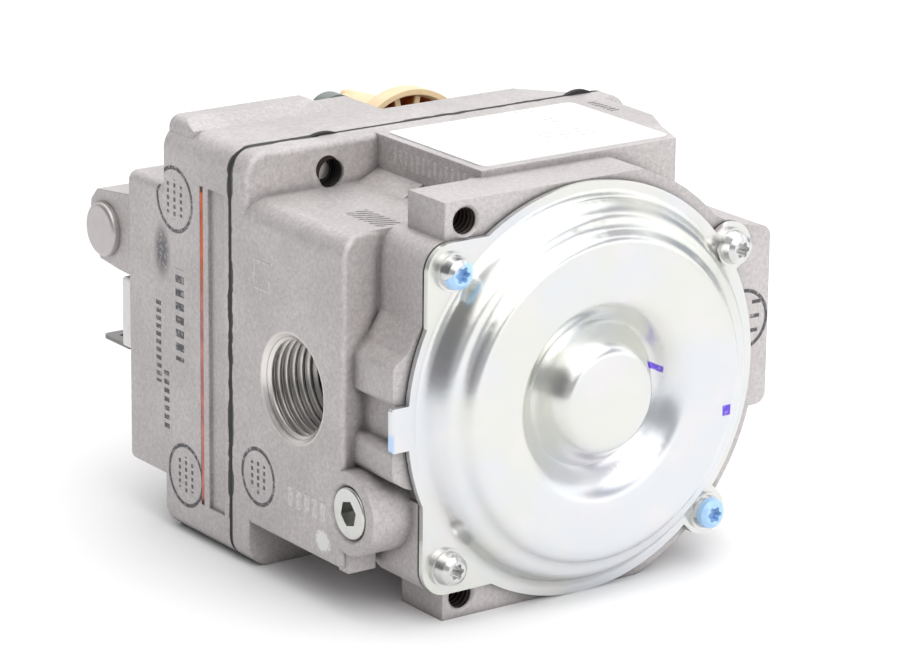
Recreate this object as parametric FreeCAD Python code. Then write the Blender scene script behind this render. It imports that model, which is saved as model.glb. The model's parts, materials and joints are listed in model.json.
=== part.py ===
"""A combination gas valve for a boiler, heater or fryer, as separate pieces.

The pieces are drawn about the axis of the round diaphragm cover: x runs along the pipe, with the inlet
at +x; y runs out through the cover, with the control head at -y; z is up, with the label side on top.
y = 0 is the machined face that the cover is screwed to. Each finished piece is then moved, so that the
valve stands on z = 0 with the centre of its box over the origin. Every length is in millimetres.
"""

import FreeCAD, Part
import math
import os

os.makedirs("parts", exist_ok=True)
V = FreeCAD.Vector

# ---- Driving dimensions: the body and its ports ----
PORT_X = 48.0                 # both pipe faces, from the middle
PIPE_Y = -30.5                # pipe axis
BOTTOM_Z = -42.5              # what the valve rests on
TOP_Z = 44.0                  # label pad and castings
BLOCK_TOP_Z = 34.8            # shoulder beside the label pad
BLOCK_BOTTOM_Z = -32.8
BLOCK_FRONT_Y = -12.7         # cover side of the port block
FLANGE_T = 15.2               # thickness of the cover flange
BAR_TOP_Z = 42.7              # tops of the two mounting bars
FLANGE_R = 45.2
FLANGE_SIDE_X = 38.2
HEAD_FACE_Y = -52.5           # machined face that the control head bolts to
HEAD_FLANGE_T = 4.8
CORNER_R = 5.0

PIPE_LAND_R = 9.6             # half-inch taper pipe thread: crests, roots and pitch
PIPE_ROOT_R = 10.65
PIPE_PITCH = 1.814
PIPE_TURNS = 6
PIPE_TAPER = 1.0 / 32.0
PIPE_MOUTH_R = 11.2
PIPE_STOP_X = 32.0            # plain wall behind the thread ends here
SCREEN_R = 9.0                # bore behind it, which holds the inlet screen

MOUNT_HOLE_X = 28.2           # two quarter-inch tapped holes, cover side
MOUNT_HOLE_TOP_Z = 38.4
MOUNT_HOLE_BOTTOM_Z = -38.1
MOUNT_HOLE_R = 2.7
MOUNT_HOLE_DEPTH = 11.0

TAP_Y = -10.6                 # pressure tap plugs
TAP_Z = -20.3
TAP_R = 5.3
TAP_BOSS_R = 8.6
TAP_FACES = {1: PORT_X, -1: 39.0}     # how far out each tap boss reaches: inlet side, outlet side

# ---- Driving dimensions: the diaphragm cover ----
SHEET = 1.2
RUBBER_T = 0.5
COVER_R = 42.5
COVER_HEIGHT = 10.6
WASHER_R = 3.95
SCREW_HEAD_R = 3.5
STAR_R = 1.3                  # driver recess of the cover screws
LUG_R = 5.7
SMALL_LUG_R = 5.0
OUTLET_TOP_Z = 26.0
COVER_SCREWS = [(32.5, 29.5), (-36.5, 23.9), (-31.4, -31.3), (33.1, -30.6)]

# ---- Driving dimensions: the control head ----
GASKET_T = 1.1
HOUSING_T = 9.6
RED_GASKET_T = 1.2
BASE_FRONT_Y = -78.0
STEP_FRONT_Y = -91.8
THIN_FRONT_Y = -70.0
HEAD_SPLIT_X = 3.5            # thick part of the operator cover is beyond this
RAISED_TOP_Z = 45.7
FRONT_REACH = 110.6           # furthest point of the head from y = 0
HEAD_SCREWS = [(27.2, 37.2), (-40.5, 34.6), (-40.5, -35.5), (41.5, -37.2), (-2.0, -37.0)]
HEAD_SCREW_R = 2.1

DIAL_X = -16.3
DIAL_Z = 26.2
DIAL_R = 15.7
DIAL_BACK_Y = -82.0
DIAL_FRONT_Y = -106.0
PUSH_TRAVEL = 4.0

REG_X = -27.0                 # pressure regulator tower
REG_Z = -13.0
REG_R = 12.0

COIL_X = 27.0                 # operator coil
COIL_Z = -9.0
COIL_R = 12.0

TUBE_X = -6.0                 # pilot tube fitting
TUBE_Z = -22.0

CAP_Y = -104.2                # flat cap on the side boss
CAP_Z = 15.6
BOSS_FACE_X = 46.3

PILOT_X = 3.0                 # pilot flow screw
PILOT_Z = 38.2
PILOT_FACE_Y = -81.6

GAP = 0.3                     # air between pieces that move past each other

HOUSING_BACK_Y = HEAD_FACE_Y - GASKET_T
HOUSING_FRONT_Y = HOUSING_BACK_Y - HOUSING_T
COVER_BACK_Y = HOUSING_FRONT_Y - RED_GASKET_T

TO_STAND = V(0, (FRONT_REACH - COVER_HEIGHT) / 2.0, -BOTTOM_Z)


# ---- Shape helpers ----
def box(x0, x1, y0, y1, z0, z1):
    return Part.makeBox(x1 - x0, y1 - y0, z1 - z0, V(x0, y0, z0))


def rod_y(x, z, radius, y0, y1):
    return Part.makeCylinder(radius, y1 - y0, V(x, y0, z), V(0, 1, 0))


def rod_x(y, z, radius, x0, x1):
    return Part.makeCylinder(radius, x1 - x0, V(x0, y, z), V(1, 0, 0))


def rod_z(x, y, radius, z0, z1):
    return Part.makeCylinder(radius, z1 - z0, V(x, y, z0), V(0, 0, 1))


def ring_y(x, z, outer, inner, y0, y1):
    return rod_y(x, z, outer, y0, y1).cut(rod_y(x, z, inner, y0 - 1, y1 + 1))


def cone_y(x, z, r0, r1, y0, y1):
    return Part.makeCone(r0, r1, y1 - y0, V(x, y0, z), V(0, 1, 0))


def prism(points, along):
    """A straight prism: a closed outline pushed along a vector."""
    corners = [V(*p) for p in points]
    return Part.Face(Part.makePolygon(corners + corners[:1])).extrude(along)


def hexagon_y(x, z, across, y0, y1):
    reach = across / math.sqrt(3.0)
    turns = [math.radians(60 * k + 30) for k in range(6)]
    outline = [(x + reach * math.cos(t), y0, z + reach * math.sin(t)) for t in turns]
    return prism(outline, V(0, y1 - y0, 0))


def hexagon_x(y, z, across, x0, x1):
    reach = across / math.sqrt(3.0)
    turns = [math.radians(60 * k + 15) for k in range(6)]
    outline = [(x0, y + reach * math.cos(t), z + reach * math.sin(t)) for t in turns]
    return prism(outline, V(x1 - x0, 0, 0))


def runs_along(edge, axis):
    start = edge.Vertexes[0].Point
    end = edge.Vertexes[-1].Point
    span = end - start
    return span.Length > 1e-6 and abs(abs(span.dot(axis)) / span.Length - 1.0) < 1e-6


def soften(shape, radius, axis, keep=lambda middle: True):
    """Round the straight edges that run along an axis and whose middle passes the test."""
    edges = [e for e in shape.Edges if runs_along(e, axis) and keep(e.CenterOfMass)]
    return shape.makeFillet(radius, edges)


def plate_y(x0, x1, z0, z1, radius, y0, y1):
    """A flat slab with four round corners."""
    return soften(box(x0, x1, y0, y1, z0, z1), radius, V(0, 1, 0))


def lathe(profile, centre, axis):
    """Turn a closed outline of (radius, distance along axis) about an axis."""
    side = V(0, 0, 1)
    points = [centre + side * r + axis * d for r, d in profile]
    outline = Part.Face(Part.makePolygon(points + points[:1]))
    return outline.revolve(centre, axis, 360)


def fuse(shapes):
    return shapes[0].multiFuse(shapes[1:]).removeSplitter()


def coil_spring(x, z, radius, wire, y0, y1, turns):
    """A helical spring whose wire stays between y0 and y1."""
    length = y1 - y0 - 2 * wire
    helix = Part.makeHelix(length / turns, length, radius)
    section = Part.Wire(Part.makeCircle(wire / 2.0, V(radius, 0, 0), V(0, 1, 0)))
    spring = Part.Wire(helix.Edges).makePipeShell([section], True, True)
    spring.rotate(V(0, 0, 0), V(1, 0, 0), -90)
    spring.translate(V(x, y0 + wire, z))
    return spring


# ---- Main body ----
def body_casting():
    """The outside of the die casting, without its bores."""
    disc = rod_y(0, 0, FLANGE_R, -FLANGE_T, 0)
    disc = disc.common(box(-60, FLANGE_SIDE_X, -20, 1, BOTTOM_Z, BAR_TOP_Z))
    bar_top = box(0, 33.2, -12.2, 0, 26, BAR_TOP_Z)
    bar_bottom = box(0, 32.8, -13.8, 0, BOTTOM_Z, -26)
    pieces = [disc, bar_top, bar_bottom]
    for sx, sz in COVER_SCREWS:
        pieces.append(lug(sx, sz, 0.1, -FLANGE_T, 0))

    outlet_pad = box(-PORT_X, -34, -50, 0, -11.5, 26.5)
    outlet_pad = soften(outlet_pad, 2.5, V(0, 1, 0), lambda m: m.x < -40)
    head_flange = plate_y(-PORT_X, PORT_X, BOTTOM_Z, TOP_Z, CORNER_R,
                          HEAD_FACE_Y, HEAD_FACE_Y + HEAD_FLANGE_T)
    rim = [e for e in head_flange.Edges if e.CenterOfMass.y > HEAD_FACE_Y + HEAD_FLANGE_T - 0.01]
    head_flange = head_flange.makeFillet(1.3, rim)
    foot_rim = plate_y(-PORT_X, PORT_X, BOTTOM_Z, TOP_Z, CORNER_R, HEAD_FACE_Y, HEAD_FACE_Y + 6.2)
    foot_rim = foot_rim.common(box(-60, 60, -60, -40, -60, BLOCK_BOTTOM_Z + 1))
    return fuse(pieces + [port_block(), outlet_pad, head_flange, foot_rim, label_pad()] + side_details())


def port_block():
    """The thick block that holds both pipe ports, with a slightly slanted cover-side wall."""
    wall_y = BLOCK_FRONT_Y - 2.3
    outline = [(0, -50, BLOCK_BOTTOM_Z), (PORT_X, -50, BLOCK_BOTTOM_Z),
               (PORT_X, BLOCK_FRONT_Y, BLOCK_BOTTOM_Z), (37, wall_y, BLOCK_BOTTOM_Z),
               (0, wall_y, BLOCK_BOTTOM_Z)]
    inlet = prism(outline, V(0, 0, BLOCK_TOP_Z - BLOCK_BOTTOM_Z))
    inlet = soften(inlet, 4.5, V(0, 1, 0), lambda m: m.x > 40 and m.z > 0)
    inlet = soften(inlet, 1.2, V(0, 1, 0), lambda m: m.x > 40 and m.z < 0)
    lip = [e for e in inlet.Edges if e.CenterOfMass.x > 40 and e.CenterOfMass.y > BLOCK_FRONT_Y - 1.6]
    inlet = inlet.makeFillet(1.0, lip)
    outlet = box(-PORT_X, 1, -50, wall_y, BLOCK_BOTTOM_Z, OUTLET_TOP_Z)
    outlet = soften(outlet, 3.0, V(0, 1, 0), lambda m: m.x < -40)
    return fuse([inlet, outlet])


def lug(sx, sz, grow, y0, y1):
    """The ear round a cover screw: squared at the inlet side, small and round at the outlet side."""
    if sx < 0:
        radius = SMALL_LUG_R + grow
        reach = math.hypot(sx, sz)
        ear = box(0.75 * reach, reach, y0, y1, -radius, radius)
        ear.rotate(V(0, 0, 0), V(0, 1, 0), -math.degrees(math.atan2(sz, sx)))
        return fuse([ear, rod_y(sx, sz, radius, y0, y1)])
    radius = LUG_R + grow
    side_z = sz + math.copysign(radius, sz)
    zs = sorted((0.55 * sz, side_z))
    tall = box(0.55 * sx, sx, y0, y1, zs[0], zs[1])
    zs = sorted((0.55 * sz, sz))
    wide = box(0.55 * sx, sx + radius, y0, y1, zs[0], zs[1])
    return fuse([tall, wide, rod_y(sx, sz, radius, y0, y1)])


def label_pad():
    """The raised flat on top that carries the label."""
    base = OUTLET_TOP_Z - 2
    outline = [(16, -49, base), (16, -12, base), (-32.5, -12, base), (-36, -21, base),
               (-40.5, -30, base), (-41, -49, base)]
    return prism(outline, V(0, 0, TOP_Z - base))


def side_details():
    """Cast lumps beside the cover's locating tab, and the inlet tap boss."""
    upper = prism([(36, -14, 21.5), (38.2, -14, 19.2), (42, -14, 13.6), (45, -14, 11.6), (45, -14, 3.6),
                   (36, -14, 3.6)], V(0, 14, 0))
    upper = soften(upper, 1.7, V(0, 1, 0), lambda m: m.x > 44)
    lower = prism([(36, -14, -4.9), (45, -14, -4.9), (45, -14, -11.2), (42, -14, -13.2), (36, -14, -15.5)],
                  V(0, 14, 0))
    lower = soften(lower, 1.7, V(0, 1, 0), lambda m: m.x > 44)
    bridge = box(36, 42, -14.6, -2.0, -5.5, 4.0)
    boss = rod_x(TAP_Y, TAP_Z, TAP_BOSS_R, 34, PORT_X)
    foot = box(40.5, 47.0, -15.2, -11.9, -33.4, -24)
    outlet_boss = rod_x(TAP_Y, TAP_Z, TAP_BOSS_R, -TAP_FACES[-1], -34)
    shoulder = prism([(-30, -15, 33.4), (-32.9, -15, 30.8), (-36.5, -15, 28.8), (-40.8, -15, 27.4),
                      (-45.4, -15, 26.4), (-45.4, -15, 20), (-30, -15, 20)], V(0, 15, 0))
    wall_foot = prism([(15, -47.5, 37.0), (16.2, -47.5, 37.0), (21.2, -47.5, BLOCK_TOP_Z - 0.2),
                       (15, -47.5, BLOCK_TOP_Z - 0.2)], V(0, 16, 0))
    return [upper, lower, bridge, boss, foot, outlet_boss, shoulder, wall_foot]


def pipe_thread(side):
    """The tool that cuts one pipe port: chamfer, tapering V grooves between flat crests, and bore."""
    face = PORT_X
    chamfer_end = face - 1.4
    profile = [(0, face + 1), (PIPE_MOUTH_R + 1.0, face + 1), (PIPE_MOUTH_R, face),
               (PIPE_ROOT_R, face - 0.6), (PIPE_LAND_R, chamfer_end)]
    for turn in range(PIPE_TURNS):
        start = chamfer_end - 0.35 - turn * PIPE_PITCH
        root = PIPE_ROOT_R - PIPE_TAPER * turn * PIPE_PITCH
        profile.append((PIPE_LAND_R, start))
        profile.append((root, start - 0.45 * PIPE_PITCH))
        profile.append((root, start - 0.5 * PIPE_PITCH))
        profile.append((PIPE_LAND_R, start - 0.85 * PIPE_PITCH))
    profile += [(PIPE_LAND_R, PIPE_STOP_X), (SCREEN_R, PIPE_STOP_X), (SCREEN_R, 28), (0, 28)]
    return lathe(profile, V(0, PIPE_Y, 0), V(side, 0, 0))


def body_cavities():
    """Gas ways and pockets inside the body."""
    inlet = box(-13.5, 30, -45, -27, -16, 16)
    gallery = box(-29, 13, -22, -16.5, -13, 13)
    outlet = box(-30, -16, -45, -16.5, -13, 13)
    seat_hole = rod_y(0, 0, 10.5, -27.5, -21)
    spring_hole = rod_y(0, 0, 13.0, -60, -44)
    stem_bore = rod_y(0, 0, 3.3, -17, 1)
    diaphragm_room = rod_y(0, 0, 33.0, -7, 1)
    safety_pocket = rod_y(DIAL_X, DIAL_Z, 8.0, -60, -20)
    safety_way = box(-14.5, -6, -46, -33, 12, 22)
    return [inlet, gallery, outlet, seat_hole, spring_hole, stem_bore, diaphragm_room,
            safety_pocket, safety_way]


def body_holes():
    """Tapped and drilled holes in the body."""
    holes = []
    for z in (MOUNT_HOLE_TOP_Z, MOUNT_HOLE_BOTTOM_Z):
        holes.append(rod_y(MOUNT_HOLE_X, z, MOUNT_HOLE_R, -MOUNT_HOLE_DEPTH, 1))
        holes.append(cone_y(MOUNT_HOLE_X, z, MOUNT_HOLE_R, MOUNT_HOLE_R + 0.7, -0.5, 0.2))
    for sx, sz in COVER_SCREWS:
        holes.append(rod_y(sx, sz, 2.0, -9.5, 1))
    for sx, sz in HEAD_SCREWS:
        reach = 1.0 if sz > 30 and sx > 0 else -1.0
        radius = 3.05 if reach > 0 else HEAD_SCREW_R
        holes.append(rod_y(sx, sz, radius, HEAD_FACE_Y - 1, HEAD_FACE_Y + HEAD_FLANGE_T + reach))
    for side, face in TAP_FACES.items():
        inner = face - 9.0
        xs = sorted((side * inner, side * (face + 1)))
        holes.append(rod_x(TAP_Y, TAP_Z, TAP_R, xs[0], xs[1]))
        xs = sorted((side * (inner - 6), side * inner))
        holes.append(rod_x(TAP_Y, TAP_Z, 1.6, xs[0], xs[1]))
        mouth = Part.makeCone(TAP_R - 0.2, TAP_R + 1.0, 1.2, V(side * (face - 1.0), TAP_Y, TAP_Z),
                              V(side, 0, 0))
        holes.append(mouth)
    return holes


def valve_body():
    tools = [pipe_thread(1), pipe_thread(-1)] + body_cavities() + body_holes()
    return body_casting().cut(tools)


# ---- Cover side ----
def cover_boss():
    """Outside of the middle boss, (radius, height) up to the sharp crease round it."""
    return [(0.0, 10.6), (5.0, 10.6), (8.6, 10.5), (10.2, 10.1), (11.4, 8.9), (12.6, 7.0), (13.8, 5.2),
            (15.0, 4.0)]


def cover_ring():
    """Outside of the pressed ring, (radius, height) from the crease to the flat rim."""
    return [(15.0, 4.0), (16.2, 4.9), (17.6, 6.5), (19.0, 7.9), (20.6, 8.8), (23.0, 9.2), (26.5, 9.4),
            (29.5, 9.6), (31.5, 9.7), (32.6, 9.4), (33.4, 8.6), (34.2, 7.6), (35.2, 7.1), (36.3, 6.8),
            (37.3, 6.0), (38.1, 4.8), (38.7, 3.5), (39.2, 2.5), (40.0, 1.9), (40.8, 1.7)]


def smooth_line(profile, drop=0.0, shrink=1.0):
    """A smooth curve through (radius, height) points, and its two ends."""
    points = [V(0, height - drop, radius * shrink) for radius, height in profile]
    curve = Part.BSplineCurve()
    curve.interpolate(points)
    return curve.toShape(), points[0], points[-1]


def diaphragm_cover():
    boss, top, _ = smooth_line(cover_boss())
    ring, _, foot = smooth_line(cover_ring())
    inner_boss, inner_top, _ = smooth_line(cover_boss(), 1.1, 0.98)
    inner_ring, _, inner_foot = smooth_line(cover_ring(), 1.1, 0.98)
    rim = [foot, V(0, RUBBER_T + SHEET, COVER_R), V(0, RUBBER_T, COVER_R), inner_foot]
    edges = [boss, ring, inner_boss, inner_ring, Part.makeLine(inner_top, top)]
    edges += [Part.makeLine(a, b) for a, b in zip(rim[:-1], rim[1:])]
    section = Part.Face(Part.Wire(Part.__sortEdges__(edges)))
    dome = section.revolve(V(0, 0, 0), V(0, 1, 0), 360)
    inside = rod_y(0, 0, 40.4, RUBBER_T - 1, RUBBER_T + SHEET + 1)
    shapes = [dome]
    for sx, sz in COVER_SCREWS:
        shapes.append(lug(sx, sz, 0.0, RUBBER_T, RUBBER_T + SHEET).cut(inside))
    tab = box(41, 46.3, RUBBER_T, RUBBER_T + SHEET, -5.0, 4.0)
    shapes.append(soften(tab, 0.6, V(0, 1, 0), lambda m: m.x > 45))
    cover = fuse(shapes)
    holes = [rod_y(sx, sz, 2.4, 0, 5) for sx, sz in COVER_SCREWS]
    seats = [rod_y(sx, sz, WASHER_R + 0.1, RUBBER_T + SHEET, 9) for sx, sz in COVER_SCREWS]
    return cover.cut(holes + seats)


def cover_screws():
    """Four screws with captive washers, as one group of separate solids."""
    seat = RUBBER_T + SHEET
    screws = []
    for sx, sz in COVER_SCREWS:
        head = cone_y(sx, sz, SCREW_HEAD_R, SCREW_HEAD_R - 0.5, seat + 0.8, seat + 2.9)
        crown = cone_y(sx, sz, SCREW_HEAD_R - 0.5, SCREW_HEAD_R - 1.4, seat + 2.9, seat + 3.6)
        shank = rod_y(sx, sz, 1.95, -8.5, seat)
        washer = rod_y(sx, sz, WASHER_R, seat, seat + 0.8)
        screw = fuse([head, crown, washer, shank])
        screws.append(screw.cut(star_recess(sx, sz, seat + 1.9, seat + 5)))
    return Part.makeCompound(screws)


def star_recess(x, z, y0, y1):
    """A six-lobed driver recess."""
    core = rod_y(x, z, STAR_R, y0, y1)
    lobes = []
    for k in range(6):
        turn = math.radians(60 * k)
        lobes.append(rod_y(x + STAR_R * math.cos(turn), z + STAR_R * math.sin(turn), STAR_R / 3.0, y0, y1))
    return fuse([core] + lobes)


def main_diaphragm():
    """The rubber sheet clamped under the cover."""
    sheet = rod_y(0, 0, COVER_R - 0.2, 0, RUBBER_T)
    shapes = [sheet] + [lug(sx, sz, -0.1, 0, RUBBER_T) for sx, sz in COVER_SCREWS]
    holes = [rod_y(sx, sz, 2.4, -1, 2) for sx, sz in COVER_SCREWS]
    holes.append(rod_y(0, 0, 3.3, -1, 2))
    return fuse(shapes).cut(holes)


def diaphragm_plate():
    """Two thin discs that grip the middle of the rubber sheet."""
    lower = ring_y(0, 0, 24.0, 3.0, -1.6, 0)
    upper = ring_y(0, 0, 19.0, 3.0, RUBBER_T, RUBBER_T + 1.2)
    return Part.makeCompound([lower, upper])


def valve_stem():
    """Stem, shoulder and disc of the main valve in one turned piece."""
    profile = [(0, -34.0), (4.0, -34.0), (4.0, -31.0), (12.0, -31.0), (12.0, -28.9), (3.0, -28.9),
               (3.0, RUBBER_T + 3.0), (0, RUBBER_T + 3.0)]
    return lathe(profile, V(0, 0, 0), V(0, 1, 0))


def valve_disc_seal():
    return ring_y(0, 0, 11.6, 3.0, -28.9, -27.6)


def valve_seat():
    """Turned ring pressed into the wall between inlet and outlet."""
    ring = ring_y(0, 0, 10.5, 7.8, -27.0, -22.0)
    lip = ring_y(0, 0, 9.2, 7.8, -27.6, -27.0)
    return fuse([ring, lip])


def main_valve_spring():
    return coil_spring(0, 0, 6.5, 1.1, HOUSING_BACK_Y - 3.0, -31.0, 6)


def tap_plug(side):
    """A socket-headed taper plug in a pressure tap."""
    face = side * TAP_FACES[side]
    inner = face - side * 8.0
    xs = sorted((inner, face))
    plug = rod_x(TAP_Y, TAP_Z, TAP_R, xs[0], xs[1])
    plug = plug.makeFillet(0.5, [e for e in plug.Edges if abs(e.CenterOfMass.x - face) < 0.01])
    xs = sorted((face - side * 4.5, face + side))
    return plug.cut(hexagon_x(TAP_Y, TAP_Z, 4.76, xs[0], xs[1]))


def inlet_screen():
    """Perforated disc that keeps scale out of the inlet."""
    disc = rod_x(PIPE_Y, 0, SCREEN_R, 31.0, 31.6)
    holes = []
    for ring, count in ((2.6, 6), (5.0, 12), (7.4, 18)):
        for k in range(count):
            turn = 2 * math.pi * k / count
            holes.append(rod_x(PIPE_Y + ring * math.cos(turn), ring * math.sin(turn), 0.8, 30.5, 32))
    return disc.cut(holes)


def label_plate():
    sheet = box(-32.4, 14.0, -47.2, -14.0, TOP_Z, TOP_Z + 0.25)
    return soften(sheet, 1.5, V(0, 0, 1))


# ---- Control head: the two castings and their gaskets ----
def head_outline(y0, y1, inset=0.0):
    return plate_y(-PORT_X + inset, PORT_X - inset, BOTTOM_Z + inset, TOP_Z - inset, CORNER_R,
                   y0, y1)


def outlet_slope(y0, y1):
    """What is taken off the head's top corner at the outlet end."""
    return prism([(-30, y0, TOP_Z), (-30, y0, TOP_Z + 3), (-50, y0, TOP_Z + 3), (-50, y0, TOP_Z - 3.8)],
                 V(0, y1 - y0, 0))


def head_screw_holes(radius, y0, y1):
    return [rod_y(sx, sz, radius, y0, y1) for sx, sz in HEAD_SCREWS]


def body_gasket():
    sheet = head_outline(HOUSING_BACK_Y, HEAD_FACE_Y)
    ears = [rod_y(25.7, TOP_Z - 8.4, 9.0, HOUSING_BACK_Y, HEAD_FACE_Y),
            rod_y(-38.6, TOP_Z - 6.1, 7.0, HOUSING_BACK_Y, HEAD_FACE_Y)]
    holes = head_screw_holes(HEAD_SCREW_R + 0.4, HOUSING_BACK_Y - 1, HEAD_FACE_Y + 1)
    holes.append(rod_y(0, 0, 13.0, HOUSING_BACK_Y - 1, HEAD_FACE_Y + 1))
    holes.append(rod_y(DIAL_X, DIAL_Z, 8.0, HOUSING_BACK_Y - 1, HEAD_FACE_Y + 1))
    return fuse([sheet] + ears).cut(holes)


def control_housing():
    """The middle casting: gas cock, pilot and regulator ways."""
    casting = head_outline(HOUSING_FRONT_Y, HOUSING_BACK_Y)
    cuts = head_screw_holes(HEAD_SCREW_R + 0.2, HOUSING_FRONT_Y - 1, HOUSING_BACK_Y + 1)
    cuts.append(outlet_slope(HOUSING_FRONT_Y - 1, HOUSING_BACK_Y))
    for side in (1, -1):
        xs = sorted((side * (PORT_X - 0.7), side * (PORT_X + 1)))
        cuts.append(box(xs[0], xs[1], HOUSING_FRONT_Y + 1.9, HOUSING_BACK_Y - 1.9, -33.8, 34.0))
    cuts.append(rod_y(0, 0, 8.0, HOUSING_BACK_Y - 3.0, HOUSING_BACK_Y + 1))
    cuts.append(cone_y(DIAL_X, DIAL_Z, 7.5, 6.2, HOUSING_FRONT_Y - 0.01, HOUSING_BACK_Y + 0.01))
    cuts.append(rod_y(REG_X, REG_Z, 2.5, HOUSING_FRONT_Y - 1, HOUSING_BACK_Y + 1))
    cuts.append(rod_y(COIL_X, COIL_Z, 2.0, HOUSING_FRONT_Y - 1, HOUSING_BACK_Y + 1))
    cuts.append(box(DIAL_X + 5, PILOT_X + 1.5, HOUSING_FRONT_Y - 1, HOUSING_FRONT_Y + 3,
                    DIAL_Z - 1.5, DIAL_Z + 1.5))
    return casting.cut(cuts)


def operator_gasket():
    """Red fibre sheet between the two castings, hidden at the corners."""
    sheet = box(-PORT_X + 0.1, PORT_X - 0.1, COVER_BACK_Y, HOUSING_FRONT_Y, -33.8, 34.0)
    holes = [rod_y(DIAL_X, DIAL_Z, 9.2, COVER_BACK_Y - 1, HOUSING_FRONT_Y + 1),
             rod_y(REG_X, REG_Z, 9.0, COVER_BACK_Y - 1, HOUSING_FRONT_Y + 1),
             rod_y(COIL_X, COIL_Z, 9.0, COVER_BACK_Y - 1, HOUSING_FRONT_Y + 1)]
    holes += head_screw_holes(HEAD_SCREW_R + 0.3, COVER_BACK_Y - 1, HOUSING_FRONT_Y + 1)
    return sheet.cut(holes)


def side_boss():
    """The round-ended ear at the inlet end of the head, with a flat face along the pipe axis."""
    outline = [(26, STEP_FRONT_Y + 1, 7.6), (26, -99, 7.9), (26, -106.5, 8.6), (26, -109.6, 12.0),
               (26, -FRONT_REACH, 16.5), (26, -110.0, 21.0), (26, -107.5, 23.6),
               (26, -99, 24.6), (26, STEP_FRONT_Y + 1, 25.6)]
    return prism(outline, V(BOSS_FACE_X - 26, 0, 0))


def operator_cover_solid():
    """The outside of the front casting."""
    thick = plate_y(HEAD_SPLIT_X - 12, PORT_X, BOTTOM_Z, TOP_Z, CORNER_R, BASE_FRONT_Y, COVER_BACK_Y)
    thick = thick.common(box(HEAD_SPLIT_X, 60, -90, -60, -50, 50))
    thin = plate_y(-PORT_X, HEAD_SPLIT_X + 10, BOTTOM_Z, 40.0, CORNER_R, THIN_FRONT_Y, COVER_BACK_Y)
    raised = box(13, 46.6, BASE_FRONT_Y, -69, 38, RAISED_TOP_Z)
    raised = soften(raised, 2.5, V(0, 1, 0), lambda m: m.z > TOP_Z)
    step = plate_y(HEAD_SPLIT_X, PORT_X, -31.8, 31.2, 2.0, STEP_FRONT_Y, BASE_FRONT_Y + 1)
    shelf = box(14, 45, -94.6, STEP_FRONT_Y + 1, 16.0, 28.2)
    upper_lip = head_outline(COVER_BACK_Y, HOUSING_FRONT_Y).common(
        box(-60, 60, -90, -60, 34.0, 50))
    lower_lip = head_outline(COVER_BACK_Y, HOUSING_FRONT_Y).common(
        box(-60, 60, -90, -60, -50, -33.8))
    tower = rod_y(REG_X, REG_Z, REG_R, -92, THIN_FRONT_Y + 1)
    pilot_boss = rod_y(PILOT_X, PILOT_Z, 4.5, PILOT_FACE_Y, THIN_FRONT_Y + 1)
    dial_boss = rod_y(DIAL_X, DIAL_Z, 11.0, -79, THIN_FRONT_Y + 1)
    outlet_boss = rod_y(TUBE_X, TUBE_Z, 7.6, -84, THIN_FRONT_Y + 1)
    bosses = [rod_y(sx, sz, 5.0, -74, THIN_FRONT_Y + 1) for sx, sz in HEAD_SCREWS if sx < 20]
    return fuse([thick, thin, raised, step, shelf, upper_lip, lower_lip, tower, pilot_boss,
                 dial_boss, outlet_boss, side_boss()] + bosses)


def operator_cover():
    """The front casting with its coil room, bores and screw holes."""
    cuts = head_screw_holes(HEAD_SCREW_R + 0.2, -100, HOUSING_FRONT_Y + 1)
    cuts.append(outlet_slope(-100, HOUSING_FRONT_Y + 1))
    cuts.append(prism([(10, -69, TOP_Z), (10, -69, RAISED_TOP_Z + 1), (10, -74, RAISED_TOP_Z)],
                      V(40, 0, 0)))
    cuts.append(rod_y(COIL_X, COIL_Z, COIL_R + 0.1, -86, COVER_BACK_Y + 1))
    cuts.append(rod_y(DIAL_X, DIAL_Z, 9.0, -77.5, COVER_BACK_Y + 1))
    cuts.append(rod_y(DIAL_X, DIAL_Z, 4.0, -85, -77))
    cuts.append(rod_y(REG_X, REG_Z, 10.5, COVER_BACK_Y - 0.8, COVER_BACK_Y + 1))
    cuts.append(rod_y(REG_X, REG_Z, 9.0, -80, COVER_BACK_Y + 1))
    cuts.append(rod_y(REG_X, REG_Z, 6.95, -95, -79))
    cuts.append(rod_y(PILOT_X, PILOT_Z, 2.7, -90, -72))
    cuts.append(rod_y(TUBE_X, TUBE_Z, 4.75, -90, -72))
    cuts.append(rod_x(CAP_Y, CAP_Z, 4.5, 34.0, BOSS_FACE_X + 1))
    for sx, sz in HEAD_SCREWS:
        if sx > 20:
            cuts.append(rod_y(sx, sz, 4.8, -100, -74))
    return operator_cover_solid().cut(cuts)


def head_screws():
    """Long hex washer-head screws that hold the head to the body."""
    screws = []
    for sx, sz in HEAD_SCREWS:
        head = hexagon_y(sx, sz, 7.0, -77.6, -74.6)
        washer = rod_y(sx, sz, 4.3, -74.6, -74.0)
        shank = rod_y(sx, sz, HEAD_SCREW_R - 0.1, -74.0, HEAD_FACE_Y + 1.0)
        slot = box(sx - 5, sx + 5, -78.5, -76.9, sz - 0.5, sz + 0.5)
        screws.append(fuse([head, washer, shank]).cut(slot))
    return Part.makeCompound(screws)


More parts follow.
